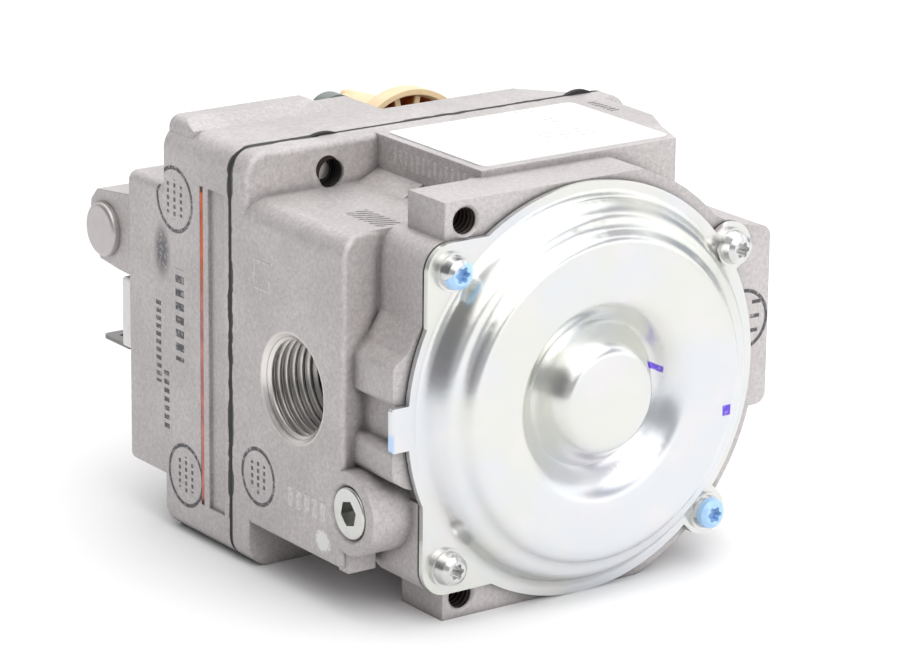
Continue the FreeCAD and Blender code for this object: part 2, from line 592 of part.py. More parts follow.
# ---- Gas cock, dial and safety valve ----
def gas_dial():
    """Hollow ivory knob: skirt with ribs behind, a tapering wall and a ribbed grip."""
    back = DIAL_BACK_Y
    front = DIAL_FRONT_Y
    outer = [(0, front), (9.6, front), (10.6, front + 1.0), (11.6, back - 9.0), (13.9, back - 5.5),
             (DIAL_R, back - 4.2), (DIAL_R, back), (14.5, back), (13.0, back - 4.6),
             (10.4, back - 8.6), (9.4, front + 2.4), (0, front + 2.4)]
    knob = lathe(outer, V(DIAL_X, 0, DIAL_Z), V(0, 1, 0))
    hub = ring_y(DIAL_X, DIAL_Z, 5.6, 3.2, front + 2.0, back - 1.6)
    ribs = []
    for k in range(16):
        rib = box(5.0, 13.9, back - 4.2, back - 1.4, -0.65, 0.65)
        rib.rotate(V(0, 0, 0), V(0, 1, 0), 22.5 * k + 11.25)
        rib.translate(V(DIAL_X, 0, DIAL_Z))
        ribs.append(rib)
    wing = box(DIAL_X - 1.6, DIAL_X + 1.6, front - 0.8, front + 13, DIAL_Z - 10.9, DIAL_Z + 10.9)
    wing = soften(wing, 1.2, V(0, 1, 0))
    knob = fuse([knob, hub, wing] + ribs)
    pointer = box(DIAL_X - 0.6, DIAL_X + 0.6, front - 1.4, front - 0.4, DIAL_Z + 2, DIAL_Z + 14)
    return knob.cut([rod_y(DIAL_X, DIAL_Z, 3.2, front + 5, back + 1), pointer])


def dial_shaft():
    """Steel shaft with a flat, from the knob through the cock plug."""
    shaft = rod_y(DIAL_X, DIAL_Z, 3.2, DIAL_FRONT_Y + 5, -80.5)
    neck = rod_y(DIAL_X, DIAL_Z, 3.0, -80.5, -50.35)
    collar = rod_y(DIAL_X, DIAL_Z, 4.8, -77.4, -76.0)
    return fuse([shaft, neck, collar])


def thrust_washer():
    """Ring that carries the return spring and slides with the shaft without turning."""
    return ring_y(DIAL_X, DIAL_Z, 8.4, 3.1, -76.0, -74.8)


def dial_spring():
    return coil_spring(DIAL_X, DIAL_Z, 7.0, 0.8, -74.8, HOUSING_FRONT_Y, 5)


def cock_plug():
    """Tapered brass plug that the dial turns."""
    body = cone_y(DIAL_X, DIAL_Z, 7.2, 5.9, HOUSING_FRONT_Y, HOUSING_BACK_Y)
    bore = rod_y(DIAL_X, DIAL_Z, 3.3, HOUSING_FRONT_Y - 1, HOUSING_BACK_Y + 1)
    port = rod_z(DIAL_X, HOUSING_BACK_Y - 5.0, 1.8, DIAL_Z - 8, DIAL_Z)
    return body.cut([bore, port])


def safety_disc():
    """Rubber-faced disc and armature that the magnet holds open."""
    disc = rod_y(DIAL_X, DIAL_Z, 6.6, -50.3, -48.1)
    stem = rod_y(DIAL_X, DIAL_Z, 1.5, -48.1, -38.5)
    armature = rod_y(DIAL_X, DIAL_Z, 5.2, -38.5, -36.7)
    return fuse([disc, stem, armature])


def safety_seat():
    return ring_y(DIAL_X, DIAL_Z, 7.95, 4.2, HEAD_FACE_Y, -50.3)


def safety_spring():
    return coil_spring(DIAL_X, DIAL_Z, 4.2, 0.7, -48.1, -39.9, 3)


def magnet_unit():
    """Coil and core held by the pilot generator's current."""
    core = rod_y(DIAL_X, DIAL_Z, 7.5, -32.4, -20.0)
    yoke = ring_y(DIAL_X, DIAL_Z, 7.95, 7.0, -46.0, -20.0)
    guide = ring_y(DIAL_X, DIAL_Z, 7.5, 2.0, -39.9, -38.9)
    way = box(DIAL_X + 1.5, DIAL_X + 9, -47, -40.5, DIAL_Z - 10, DIAL_Z - 3)
    return fuse([core, yoke, guide]).cut(way)


# ---- Pressure regulator ----
def regulator_cap():
    """Slotted cap screw that closes the regulator tower."""
    head = rod_y(REG_X, REG_Z, 9.0, -95.0, -92.0)
    thread = rod_y(REG_X, REG_Z, 6.9, -92.0, -89.8)
    slot = box(REG_X - 10, REG_X + 10, -95.5, -93.6, REG_Z - 0.9, REG_Z + 0.9)
    return fuse([head, thread]).cut(slot)


def regulator_screw():
    """Slotted adjusting screw that presses the regulator spring."""
    screw = rod_y(REG_X, REG_Z, 6.6, -88.2, -84.0)
    return screw.cut(box(REG_X - 7, REG_X + 7, -89, -86.9, REG_Z - 0.7, REG_Z + 0.7))


def regulator_spring_seat():
    cup = rod_y(REG_X, REG_Z, 6.0, -83.9, -82.8)
    nose = rod_y(REG_X, REG_Z, 3.2, -82.8, -80.6)
    return fuse([cup, nose])


def regulator_spring():
    return coil_spring(REG_X, REG_Z, 4.6, 0.8, -82.8, -67.0, 6)


def regulator_diaphragm():
    return ring_y(REG_X, REG_Z, 10.4, 1.95, COVER_BACK_Y - 0.8, COVER_BACK_Y)


def regulator_valve():
    """Poppet and cup that the regulator spring presses."""
    cup = rod_y(REG_X, REG_Z, 6.2, -67.0, COVER_BACK_Y - 0.8)
    stem = rod_y(REG_X, REG_Z, 1.9, COVER_BACK_Y - 0.8, -56.0)
    return fuse([cup, stem])


# ---- Operator coil, pilot and terminals ----
def operator_coil():
    """Wound coil round a tube."""
    return ring_y(COIL_X, COIL_Z, COIL_R - 1.0, 5.6, -84.0, -66.5)


def coil_bobbin():
    tube = ring_y(COIL_X, COIL_Z, 5.6, 4.3, -86.0, COVER_BACK_Y)
    near = ring_y(COIL_X, COIL_Z, COIL_R, 4.3, -66.5, COVER_BACK_Y)
    far = ring_y(COIL_X, COIL_Z, COIL_R, 4.3, -86.0, -84.0)
    return fuse([tube, near, far])


def operator_plunger():
    """Steel plunger with a rubber tip over the servo port."""
    steel = rod_y(COIL_X, COIL_Z, 4.0, -80.0, -66.0)
    tip = rod_y(COIL_X, COIL_Z, 3.0, -66.0, HOUSING_FRONT_Y)
    return fuse([steel, tip])


def plunger_spring():
    return coil_spring(COIL_X, COIL_Z, 3.0, 0.5, -86.0, -80.0, 3)


def pilot_screw():
    """Slotted needle screw for the pilot flow."""
    head = rod_y(PILOT_X, PILOT_Z, 2.4, -80.4, -77.0)
    needle = cone_y(PILOT_X, PILOT_Z, 1.4, 0.6, -77.0, -73.5)
    slot = box(PILOT_X - 3, PILOT_X + 3, -81, -79.4, PILOT_Z - 0.4, PILOT_Z + 0.4)
    return fuse([head, needle]).cut(slot)


def pilot_cap():
    """Slotted cap screw over the pilot adjuster."""
    head = rod_y(PILOT_X, PILOT_Z, 5.2, PILOT_FACE_Y - 4.4, PILOT_FACE_Y)
    front = [e for e in head.Edges if e.CenterOfMass.y < PILOT_FACE_Y - 4.3]
    head = head.makeFillet(0.8, front)
    spigot = rod_y(PILOT_X, PILOT_Z, 2.6, PILOT_FACE_Y, PILOT_FACE_Y + 0.8)
    slot = box(PILOT_X - 6, PILOT_X + 6, PILOT_FACE_Y - 5, PILOT_FACE_Y - 3.2, PILOT_Z - 0.7, PILOT_Z + 0.7)
    return fuse([head, spigot]).cut(slot)


def pilot_fitting():
    """Compression fitting for a quarter-inch pilot tube."""
    nut = hexagon_y(TUBE_X, TUBE_Z, 11.1, -93.0, -84.0)
    spigot = rod_y(TUBE_X, TUBE_Z, 4.7, -84.0, -73.0)
    tube_bore = rod_y(TUBE_X, TUBE_Z, 3.25, -94, -80)
    gas_bore = rod_y(TUBE_X, TUBE_Z, 2.0, -81, -72)
    return fuse([nut, spigot]).cut([tube_bore, gas_bore])


def filter_cap():
    """Flat round cap on the side boss."""
    head = rod_x(CAP_Y, CAP_Z, 5.8, BOSS_FACE_X, PORT_X)
    edge = [e for e in head.Edges if abs(e.CenterOfMass.x - PORT_X) < 1e-3 and e.Length > 1]
    head = head.makeFillet(0.9, edge)
    return fuse([head, rod_x(CAP_Y, CAP_Z, 4.4, 40.0, BOSS_FACE_X + 0.1)])


def filter_plug():
    return rod_x(CAP_Y, CAP_Z, 4.2, 34.3, 39.8)


TERMINAL_XS = (24.0, 33.0, 42.0)
BOARD_FRONT_Y = -97.2
LEAF_T = 0.8


def terminal_board():
    board = box(19.0, 46.6, BOARD_FRONT_Y, STEP_FRONT_Y, -8.4, 6.8)
    board = soften(board, 0.8, V(0, 1, 0))
    return board.cut([rod_y(x, 3.2, 1.6, BOARD_FRONT_Y - 1, -90) for x in TERMINAL_XS])


def terminals():
    """Bent spade terminals, a group of separate solids."""
    blades = []
    for x in TERMINAL_XS:
        leaf = box(x - 3.15, x + 3.15, BOARD_FRONT_Y - LEAF_T, BOARD_FRONT_Y, -9.4, 6.2)
        blade = box(x - 3.15, x + 3.15, -108.0, BOARD_FRONT_Y, -9.4, -9.4 + LEAF_T)
        blade = soften(blade, 1.4, V(0, 0, 1), lambda m: m.y < -104)
        hole = rod_z(x, -104.5, 0.8, -12, -6)
        shape = fuse([leaf, blade]).cut([hole, rod_y(x, 3.2, 1.7, BOARD_FRONT_Y - 2, BOARD_FRONT_Y + 1)])
        blades.append(shape)
    return Part.makeCompound(blades)


def terminal_screws():
    screws = []
    for x in TERMINAL_XS:
        seat = BOARD_FRONT_Y - LEAF_T
        head = rod_y(x, 3.2, 2.6, seat - 1.8, seat)
        shank = rod_y(x, 3.2, 1.5, seat, -92.2)
        slot = box(x - 3.2, x + 3.2, seat - 2.5, seat - 1.0, 2.8, 3.6)
        screws.append(fuse([head, shank]).cut(slot))
    return Part.makeCompound(screws)


NODES = {
    "valve_body": valve_body,
    "diaphragm_cover": diaphragm_cover,
    "cover_screws": cover_screws,
    "main_diaphragm": main_diaphragm,
    "diaphragm_plate": diaphragm_plate,
    "main_valve_stem": valve_stem,
    "main_valve_seal": valve_disc_seal,
    "main_valve_seat": valve_seat,
    "main_valve_spring": main_valve_spring,
    "inlet_tap_plug": lambda: tap_plug(1),
    "outlet_tap_plug": lambda: tap_plug(-1),
    "inlet_screen": inlet_screen,
    "label_plate": label_plate,
    "body_gasket": body_gasket,
    "control_housing": control_housing,
    "operator_gasket": operator_gasket,
    "operator_cover": operator_cover,
    "head_screws": head_screws,
    "gas_dial": gas_dial,
    "dial_shaft": dial_shaft,
    "thrust_washer": thrust_washer,
    "dial_return_spring": dial_spring,
    "cock_plug": cock_plug,
    "safety_disc": safety_disc,
    "safety_seat": safety_seat,
    "safety_spring": safety_spring,
    "magnet_unit": magnet_unit,
    "regulator_cap": regulator_cap,
    "regulator_screw": regulator_screw,
    "regulator_spring_seat": regulator_spring_seat,
    "regulator_spring": regulator_spring,
    "regulator_diaphragm": regulator_diaphragm,
    "regulator_valve": regulator_valve,
    "operator_coil": operator_coil,
    "coil_bobbin": coil_bobbin,
    "operator_plunger": operator_plunger,
    "plunger_spring": plunger_spring,
    "pilot_screw": pilot_screw,
    "pilot_cap": pilot_cap,
    "pilot_fitting": pilot_fitting,
    "filter_cap": filter_cap,
    "filter_plug": filter_plug,
    "terminal_board": terminal_board,
    "spade_terminals": terminals,
    "terminal_screws": terminal_screws,
}

for name, make in NODES.items():
    piece = make()
    piece.translate(TO_STAND)
    piece.exportStep("parts/" + name + ".step")
    print(name, "solids", len(piece.Solids), "valid", piece.isValid(), "volume", round(piece.Volume, 1))
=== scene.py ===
import json
import math

import bpy
from mathutils import Matrix, Vector

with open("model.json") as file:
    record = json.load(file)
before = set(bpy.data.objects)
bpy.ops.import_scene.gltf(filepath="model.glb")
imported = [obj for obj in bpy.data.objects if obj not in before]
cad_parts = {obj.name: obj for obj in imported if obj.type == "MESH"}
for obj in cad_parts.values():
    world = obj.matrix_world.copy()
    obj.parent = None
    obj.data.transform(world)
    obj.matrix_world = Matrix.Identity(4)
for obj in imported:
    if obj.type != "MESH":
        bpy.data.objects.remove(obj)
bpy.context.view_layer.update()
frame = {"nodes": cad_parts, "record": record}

MM = 0.001
SHIFT = Vector((0.0, 0.050, 0.0425))      # from the cover-axis frame the part is drawn in to the row frame

# Places on the body, in the drawing frame and in millimetres.
SIDE_X = (47.2, 47.5)                     # fades in on the inlet side's outer faces
SEAM_Y = -53.05                           # middle of the black gasket
PIPE_Y = -30.5                            # axis of both pipe ports
PIPE_PITCH = 1.814
PIPE_RADIUS = 11.3
PIPE_MOUTH_X = (27.0, 27.5)
THREAD_START_X = 46.25                    # outer edge of the first thread groove
TAPPED_X, TAPPED_Z, TAPPED_RADIUS = 28.2, (38.4, -38.1), 2.72
TAPPED_PITCH = 1.27
PASSAGE_X, PASSAGE_Z, PASSAGE_RADIUS = 27.2, 37.2, 3.1
DIAL_X, DIAL_Z, DIAL_HOLLOW_RADIUS = -16.3, 26.2, 14.2

# Colours.
CAST_DARK = (0.482, 0.454, 0.446, 1.0)
CAST_LIGHT = (0.537, 0.506, 0.498, 1.0)
# Painted highlight on the raised cast bars.
RELIEF_HIGHLIGHT = (0.80, 0.78, 0.77, 1.0)
INK = (0.045, 0.045, 0.055, 1.0)
PAINT_SPOT = (0.80, 0.80, 0.80, 1.0)
GASKET_OIL = (0.02, 0.019, 0.018, 1.0)
# Painted shade in the grooves and painted highlight on the crests of the pipe threads.
THREAD_GROOVE_SHADE = (0.045, 0.038, 0.034, 1)
THREAD_CREST_HIGHLIGHT = (0.74, 0.71, 0.68, 1)
# Painted shade far inside the pipe bores.
BORE_SHADE = (0.02, 0.013, 0.011, 1.0)
# Painted highlight and painted shade in rings inside the tapped holes.
TAPPED_CREST_HIGHLIGHT = (0.42, 0.36, 0.33, 1)
TAPPED_GROOVE_SHADE = (0.06, 0.045, 0.04, 1)
# Painted shade inside the passage hole.
PASSAGE_SHADE = (0.03, 0.026, 0.025, 1)
ZINC_WARM = (0.695, 0.70, 0.655, 1)
ZINC_COOL = (0.675, 0.69, 0.71, 1)
ZINC_PINK = (0.75, 0.71, 0.71, 1)
VIOLET_PEN = (0.16, 0.09, 0.62, 1)
TAB_BLUE = (0.35, 0.55, 0.84, 1)
DAB_BLUE = (0.40, 0.62, 0.88, 1)
# Painted shade: orange-brown inside the dial's pockets.
DIAL_HOLLOW_SHADE = (0.50, 0.15, 0.03, 1)
GASKET_END = (0.04, 0.02, 0.02, 1)
PRINT_GREY = (0.30, 0.30, 0.32, 1)


# ---- Node helpers ----
class Net:
    """Small helper to build a material's nodes."""

    def __init__(self, name):
        self.material = bpy.data.materials.new(name)
        self.material.use_nodes = True
        self.tree = self.material.node_tree
        self.tree.nodes.clear()
        self.output = self.tree.nodes.new("ShaderNodeOutputMaterial")

    def node(self, kind, **values):
        made = self.tree.nodes.new(kind)
        for key, value in values.items():
            setattr(made, key, value)
        return made

    def link(self, source, target):
        self.tree.links.new(source, target)

    def put(self, socket, value):
        if hasattr(value, "is_output"):
            self.link(value, socket)
        else:
            socket.default_value = value

    def math(self, operation, *values, clamp=False):
        made = self.node("ShaderNodeMath", operation=operation, use_clamp=clamp)
        for socket, value in zip(made.inputs, values):
            self.put(socket, value)
        return made.outputs[0]

    def mix(self, factor, a, b):
        made = self.node("ShaderNodeMix", data_type="RGBA")
        self.put(made.inputs[0], factor)
        self.put(made.inputs[6], a)
        self.put(made.inputs[7], b)
        return made.outputs[2]

    def ramp(self, value, low, high, low_value=0.0, high_value=1.0):
        made = self.node("ShaderNodeMapRange", interpolation_type="SMOOTHSTEP")
        self.put(made.inputs[0], value)
        for socket, number in zip(made.inputs[1:5], (low, high, low_value, high_value)):
            self.put(socket, number)
        return made.outputs[0]

    def place(self):
        """Position in the drawing frame, in millimetres."""
        spot = self.node("ShaderNodeTexCoord").outputs["Object"]
        move = self.node("ShaderNodeVectorMath", operation="SUBTRACT")
        self.link(spot, move.inputs[0])
        move.inputs[1].default_value = SHIFT
        grow = self.node("ShaderNodeVectorMath", operation="SCALE")
        self.link(move.outputs[0], grow.inputs[0])
        grow.inputs[3].default_value = 1000.0
        return grow.outputs[0]

    def noise(self, where, scale, detail=3.0, roughness=0.55):
        made = self.node("ShaderNodeTexNoise")
        self.link(where, made.inputs["Vector"])
        made.inputs["Scale"].default_value = scale
        made.inputs["Detail"].default_value = detail
        made.inputs["Roughness"].default_value = roughness
        return made.outputs[0]

    def split(self, where):
        made = self.node("ShaderNodeSeparateXYZ")
        self.link(where, made.inputs[0])
        return made.outputs

    def normal(self, bevel=0.0, bump=None, strength=0.3, distance=0.0001):
        last = None
        if bevel:
            rounded = self.node("ShaderNodeBevel", samples=6)
            rounded.inputs[0].default_value = bevel * MM
            last = rounded.outputs[0]
        if bump is not None:
            made = self.node("ShaderNodeBump")
            made.inputs["Strength"].default_value = strength
            made.inputs["Distance"].default_value = distance
            self.link(bump, made.inputs["Height"])
            if last is not None:
                self.link(last, made.inputs["Normal"])
            last = made.outputs[0]
        return last

    def scaled(self, color, factor):
        """A colour made darker or lighter."""
        made = self.node("ShaderNodeVectorMath", operation="SCALE")
        self.put(made.inputs[0], color)
        self.put(made.inputs[3], factor)
        return made.outputs[0]

    def painted_corner_shade(self, reach, darkest):
        """Painted shade from ambient occlusion: falls from 1 on open faces to a darker value in corners
        within a reach in millimetres.
        """
        made = self.node("ShaderNodeAmbientOcclusion", samples=8)
        made.inputs["Distance"].default_value = reach * MM
        return self.ramp(made.outputs["AO"], 0.25, 0.95, darkest, 1.0)

    def gap(self, value, middle):
        """How far a value is from a middle."""
        return self.math("ABSOLUTE", self.math("SUBTRACT", value, middle))

    def both(self, a, b):
        return self.math("MULTIPLY", a, b)

    def any(self, masks):
        """The strongest of several masks."""
        found = masks[0]
        for mask in masks[1:]:
            found = self.math("MAXIMUM", found, mask)
        return found

    def bar(self, u, v, cu, cv, half_u, half_v, soft=0.22):
        """1 inside a rectangle, 0 outside."""
        off_u = self.math("SUBTRACT", self.gap(u, cu), half_u)
        off_v = self.math("SUBTRACT", self.gap(v, cv), half_v)
        return self.ramp(self.math("MAXIMUM", off_u, off_v), 0.0, soft, 1.0, 0.0)

    def slanted_bar(self, u, v, cu, cv, half_u, half_v, slope):
        """A rectangle sheared so that it climbs with u."""
        level = self.math("SUBTRACT", v, self.math("MULTIPLY", self.math("SUBTRACT", u, cu), slope))
        return self.bar(u, level, cu, cv, half_u, half_v)

    def ellipse(self, u, v, cu, cv, half_u, half_v):
        """Distance from a centre, 1 on the ellipse."""
        far_u = self.math("DIVIDE", self.math("SUBTRACT", u, cu), half_u)
        far_v = self.math("DIVIDE", self.math("SUBTRACT", v, cv), half_v)
        squares = self.math("ADD", self.math("MULTIPLY", far_u, far_u), self.math("MULTIPLY", far_v, far_v))
        return self.math("SQRT", squares)

    def ring(self, u, v, cu, cv, radius, half_width):
        off = self.math("MULTIPLY", self.gap(self.ellipse(u, v, cu, cv, radius, radius), 1.0), radius)
        return self.ramp(off, half_width, half_width + 0.2, 1.0, 0.0)

    def ring_fill(self, u, v, cu, cv, half_u, half_v):
        return self.ramp(self.ellipse(u, v, cu, cv, half_u, half_v), 0.98, 1.04, 1.0, 0.0)

    def dashes(self, value, pitch, filled):
        """Stripes across a value: 1 for the filled share of each pitch."""
        phase = self.math("FRACT", self.math("DIVIDE", value, pitch))
        return self.ramp(phase, filled, filled + 0.08, 1.0, 0.0)

    def tinted(self, where, color, spread, scale):
        """One colour that drifts a little darker and lighter."""
        cloud = self.noise(where, scale, 4.0)
        dark = tuple(c * (1.0 - spread) for c in color) + (1.0,)
        light = tuple(min(1.0, c * (1.0 + spread)) for c in color) + (1.0,)
        return self.mix(self.ramp(cloud, 0.3, 0.7), dark, light)

    def shade(self, color, roughness, metallic=0.0, normal=None):
        made = self.node("ShaderNodeBsdfPrincipled")
        self.put(made.inputs["Base Color"], color)
        self.put(made.inputs["Roughness"], roughness)
        self.put(made.inputs["Metallic"], metallic)
        if normal is not None:
            self.link(normal, made.inputs["Normal"])
        self.link(made.outputs[0], self.output.inputs[0])


def cast_metal(name):
    """Die-cast aluminium: grain, machined ports, ink marks on the sides, oil along the gasket, painted
    shade in corners, bores and holes, and painted highlights on raised bars and threads.
    """
    net = Net(name)
    where = net.place()
    x, y, z = net.split(where)
    grain = net.noise(where, 1.1, 5.0, 0.72)
    fine = net.noise(where, 3.2, 3.0, 0.65)
    broad = net.noise(where, 0.06, 3.0)
    color = net.mix(net.ramp(broad, 0.35, 0.65), CAST_DARK, CAST_LIGHT)
    mottle = net.both(net.ramp(grain, 0.32, 0.68, 0.86, 1.13), net.ramp(fine, 0.35, 0.65, 0.94, 1.06))
    # Painted shade: the colour darkens in corners and recesses.
    painted_corner_shade = net.painted_corner_shade(3.0, 0.45)
    color = net.scaled(color, net.both(mottle, painted_corner_shade))
    relief = cast_relief(net, x, y, z)
    # Painted highlight on the raised bars, broken up by the grain.
    color = net.mix(net.both(relief, net.ramp(grain, 0.38, 0.52, 0.0, 0.40)), color, RELIEF_HIGHLIGHT)

    ink = net.both(cast_marks(net, x, y, z), net.ramp(grain, 0.36, 0.50, 0.25, 0.93))
    color = net.mix(ink, color, INK)
    spot = net.ellipse(y, z, -19.4, -28.6, 2.6, 2.3)
    spot = net.math("ADD", spot, net.ramp(grain, 0.3, 0.7, -0.25, 0.25))
    paint = net.both(net.ramp(spot, 0.80, 1.05, 0.85, 0.0), net.ramp(x, 47.0, 47.5))
    color = net.mix(paint, color, PAINT_SPOT)
    seam_noise = net.noise(where, 0.16, 3.0)
    seam_half = net.ramp(seam_noise, 0.40, 0.64, 0.10, 0.95)
    off_seam = net.math("SUBTRACT", net.gap(y, SEAM_Y), seam_half)
    color = net.mix(net.ramp(off_seam, 0.0, 0.35, 0.92, 0.0), color, GASKET_OIL)

    out_from_middle = net.gap(x, 0.0)
    bore = net.both(net.ring_fill(y, z, PIPE_Y, 0.0, PIPE_RADIUS, PIPE_RADIUS),
                    net.ramp(out_from_middle, *PIPE_MOUTH_X))
    # Painted shade: the bore turns near black further in.
    painted_bore_shade = net.both(bore, net.ramp(out_from_middle, 36.5, 34.5))
    # Pipe threads drawn as painted shade in the grooves and painted highlight on the crests and near the
    # mouth.
    inward = net.math("SUBTRACT", THREAD_START_X, out_from_middle)
    groove = net.math("FRACT", net.math("DIVIDE", inward, PIPE_PITCH))
    crest_highlight = net.math("ADD", net.ramp(groove, 0.42, 0.56), net.ramp(groove, 0.16, 0.04), clamp=True)
    crest_highlight = net.any([crest_highlight, net.ramp(inward, -0.8, -1.1)])
    color = net.mix(bore, color, net.mix(crest_highlight, THREAD_GROOVE_SHADE, THREAD_CREST_HIGHLIGHT))
    color = net.mix(painted_bore_shade, color, BORE_SHADE)
    holes = net.any([net.ring_fill(x, z, TAPPED_X, hole_z, TAPPED_RADIUS, TAPPED_RADIUS)
                     for hole_z in TAPPED_Z])
    holes = net.both(holes, net.ramp(y, -0.5, -1.0))
    # Rings of painted highlight and painted shade inside the tapped holes.
    thread = net.mix(net.dashes(y, TAPPED_PITCH, 0.45), TAPPED_CREST_HIGHLIGHT, TAPPED_GROOVE_SHADE)
    color = net.mix(holes, color, thread)
    # Painted shade darkens the inside of the passage hole.
    passage_shade = net.both(net.ring_fill(x, z, PASSAGE_X, PASSAGE_Z, PASSAGE_RADIUS, PASSAGE_RADIUS),
                       net.ramp(y, -48.1, -48.9))
    color = net.mix(net.both(passage_shade, net.ramp(y, -52.4, -52.2)), color, PASSAGE_SHADE)

    rough = net.ramp(grain, 0.3, 0.7, 0.40, 0.56)
    rough = net.math("SUBTRACT", rough, net.math("MULTIPLY", bore, 0.12))
    height = net.math("ADD", grain, net.math("MULTIPLY", fine, 0.4))
    height = net.math("ADD", height, net.math("MULTIPLY", relief, 3.0))
    height = net.math("MULTIPLY", height, net.math("SUBTRACT", 1.0, net.math("MULTIPLY", bore, 0.97)))
    normal = net.normal(0.5, height, 0.5, 0.0002)
    metal = net.math("ADD", 0.35, net.math("MULTIPLY", net.any([bore, holes]), 0.6))
    net.shade(color, rough, metal, normal)
    return net.material


def cast_marks(net, x, y, z):
    """Blank inspector's stamps, rows of dashes and a smudge: shapes only, with no lettering."""
    side = net.ramp(x, *SIDE_X)
    marks = []
    for cy, cz, radius in ((-74.0, 29.0, 6.6), (-70.3, -29.3, 6.4), (-42.9, -21.8, 5.8)):
        marks.append(net.both(side, net.ring(y, z, cy, cz, radius, 0.32)))
        for row in (-1, 0, 1):
            dashes = net.dashes(z, 1.5, 0.55)
            bar = net.bar(y, z, cy + row * 0.38 * radius, cz, 0.32, radius * (0.62 - 0.14 * abs(row)))
            marks.append(net.both(side, net.both(bar, dashes)))
    for cy, low, high, half, pitch in ((-72.3, -5.0, 14.5, 1.5, 2.9), (-80.6, -11.5, 6.0, 0.9, 1.7),
                                       (-77.6, -21.5, -8.5, 0.9, 1.9)):
        column = net.bar(y, z, cy, (low + high) / 2.0, half, (high - low) / 2.0)
        marks.append(net.both(side, net.both(column, net.dashes(z, pitch, 0.52))))
    blot = net.ramp(net.ellipse(y, z, -79.0, 17.0, 3.4, 6.5), 1.15, 0.35, 0.0, 0.85)
    marks.append(net.both(side, blot))
    pad = net.ramp(y, -0.5, -0.3)
    marks.append(net.both(pad, net.ring(x, z, -41.5, 7.2, 6.1, 0.3)))
    for row in range(3):
        bar = net.bar(x, z, -45.0 + 0.4 * row, 10.6 - 3.0 * row, 1.1, 0.3)
        marks.append(net.both(pad, bar))
    shoulder = net.both(net.ramp(z, 34.4, 34.6), net.ramp(z, 35.4, 35.1))
    slant = net.math("ADD", y, net.math("MULTIPLY", x, 0.9))
    scribble = net.both(net.bar(x, y, 34.4, -22.5, 2.6, 6.0), net.dashes(slant, 1.9, 0.42))
    marks.append(net.both(shoulder, scribble))
    top = net.ramp(z, 43.7, 43.9)
    marks.append(net.both(top, net.both(net.bar(x, y, -36.4, -41.5, 1.0, 4.6), net.dashes(y, 1.3, 0.5))))
    return net.any(marks)


def cast_relief(net, x, y, z):
    """Raised blank bars where a foundry would cast its marks."""
    side = net.ramp(x, *SIDE_X)
    wall = net.both(net.ramp(z, 36.9, 37.1), net.ramp(z, 43.2, 43.0))
    wall = net.both(wall, net.both(net.ramp(x, 15.8, 15.9), net.ramp(x, 18.5, 18.0)))
    bars = [net.both(wall, net.both(net.bar(y, z, -29.5, 40.4, 13.8, 1.7), net.dashes(y, 2.0, 0.42)))]
    bars.append(net.both(side, net.both(net.bar(y, z, -26.0, -22.6, 7.2, 2.0), net.dashes(y, 2.9, 0.55))))
    outer = net.bar(y, z, -41.6, 20.6, 3.0, 3.0)
    inner = net.bar(y, z, -41.6, 20.6, 2.5, 2.5)
    bars.append(net.both(side, net.math("SUBTRACT", outer, inner)))
    return net.any(bars)


def plain(name, color, roughness, metallic=0.0, spread=0.04, scale=0.5, bevel=0.0, bump=0.0):
    """One colour and roughness with a soft procedural variation."""
    net = Net(name)
    where = net.place()
    tint = net.tinted(where, color, spread, scale)
    height = net.noise(where, scale * 12.0, 3.0) if bump else None
    normal = net.normal(bevel, height, bump, 0.00005) if (bevel or bump) else None
    cloud = net.noise(where, scale)
    rough = net.ramp(cloud, 0.3, 0.7, roughness * 0.95, min(1.0, roughness * 1.05))
    net.shade(tint, rough, metallic, normal)
    return net.material


def zinc_cover(name):
    """Bright zinc over pressed steel, with the faint yellow and blue drift of a passivated coat."""
    net = Net(name)
    where = net.place()
    x, y, z = net.split(where)
    drift = net.noise(where, 0.035, 3.0)
    wave = net.noise(where, 0.11, 3.0)
    speck = net.noise(where, 1.1, 4.0, 0.7)
    color = net.mix(net.ramp(drift, 0.38, 0.62), ZINC_WARM, ZINC_COOL)
    color = net.mix(net.ramp(wave, 0.50, 0.66, 0.0, 0.5), color, ZINC_PINK)
    ragged = net.ramp(speck, 0.30, 0.50, 0.35, 1.0)
    strokes = [net.slanted_bar(x, z, -14.0, 3.6, 2.6, 0.55, 0.5), net.bar(x, z, -30.0, -7.4, 0.9, 1.0)]
    strokes = net.both(net.any(strokes), net.ramp(y, 3.0, 3.4))
    color = net.mix(net.both(strokes, ragged), color, VIOLET_PEN)
    tab = net.both(net.ramp(x, 45.4, 46.0), net.ramp(z, -0.5, -2.0))
    color = net.mix(net.math("MULTIPLY", tab, 0.7), color, TAB_BLUE)
    rough = net.ramp(drift, 0.3, 0.7, 0.23, 0.265)
    ripple = net.noise(where, 0.16, 3.0)
    net.shade(color, rough, 0.92, net.normal(bump=ripple, strength=0.10, distance=0.0004))
    return net.material


SCREW_REACH = 3.9
# Screw centre x and z, the way the paint lies, and how far over the head it reaches, in millimetres.
PAINTED_SCREWS = ((32.5, 29.5, -0.5, -0.8, -1.3), (-31.4, -31.3, 0.7, 0.1, -1.6))


